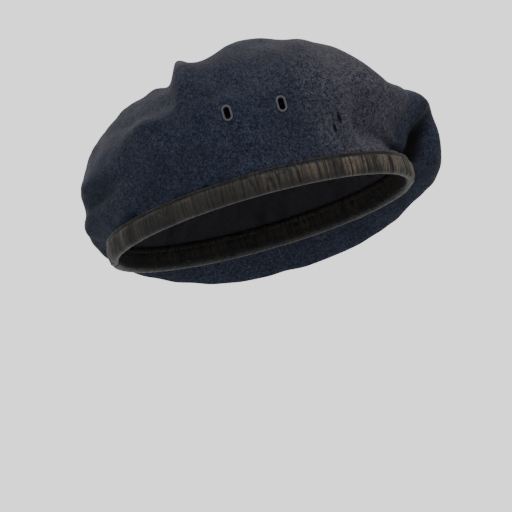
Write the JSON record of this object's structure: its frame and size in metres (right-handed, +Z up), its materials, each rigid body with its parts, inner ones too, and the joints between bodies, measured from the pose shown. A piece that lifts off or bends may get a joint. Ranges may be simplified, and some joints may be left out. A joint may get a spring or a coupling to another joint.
{
  "type": "beret",
  "caption": "Military-style felt beret with a drawstring leather binding, pulled down to one side, with vent eyelets and a cloth lining.",
  "frame": {"origin": "middle of the oval head opening, level with the lowest line of the leather binding", "axes": "+X to the wearer's front, +Y to the wearer's left, +Z up"},
  "size_m": [0.2437, 0.2099, 0.1258],
  "materials": {
    "felt": "dark navy fulled wool felt, brushed nap with pale lint",
    "leather": "worn black-brown leather, gathered and cracked",
    "lining_cloth": "black plain-weave cotton",
    "thread": "black waxed thread",
    "cord": "black braided cord",
    "eyelet_paint": "blue-grey enamel, worn at the rim",
    "washer_steel": "dull plated steel",
    "label_cloth": "off-white woven tape, blank"
  },
  "bodies": {
    "root": {"crown": "felt", "eyelet_front": "eyelet_paint", "eyelet_rear": "eyelet_paint", "washer_front": "washer_steel", "washer_rear": "washer_steel", "leather_binding": "leather", "drawstring": "cord", "lining_side": "lining_cloth", "lining_tip": "lining_cloth", "size_label": "label_cloth", "label_stitches": "thread", "lining_seam_stitches": "thread", "binding_stitches_outside": "thread", "binding_stitches_inside": "thread", "binding_joint_stitches": "thread"}
  },
  "joints": []
}
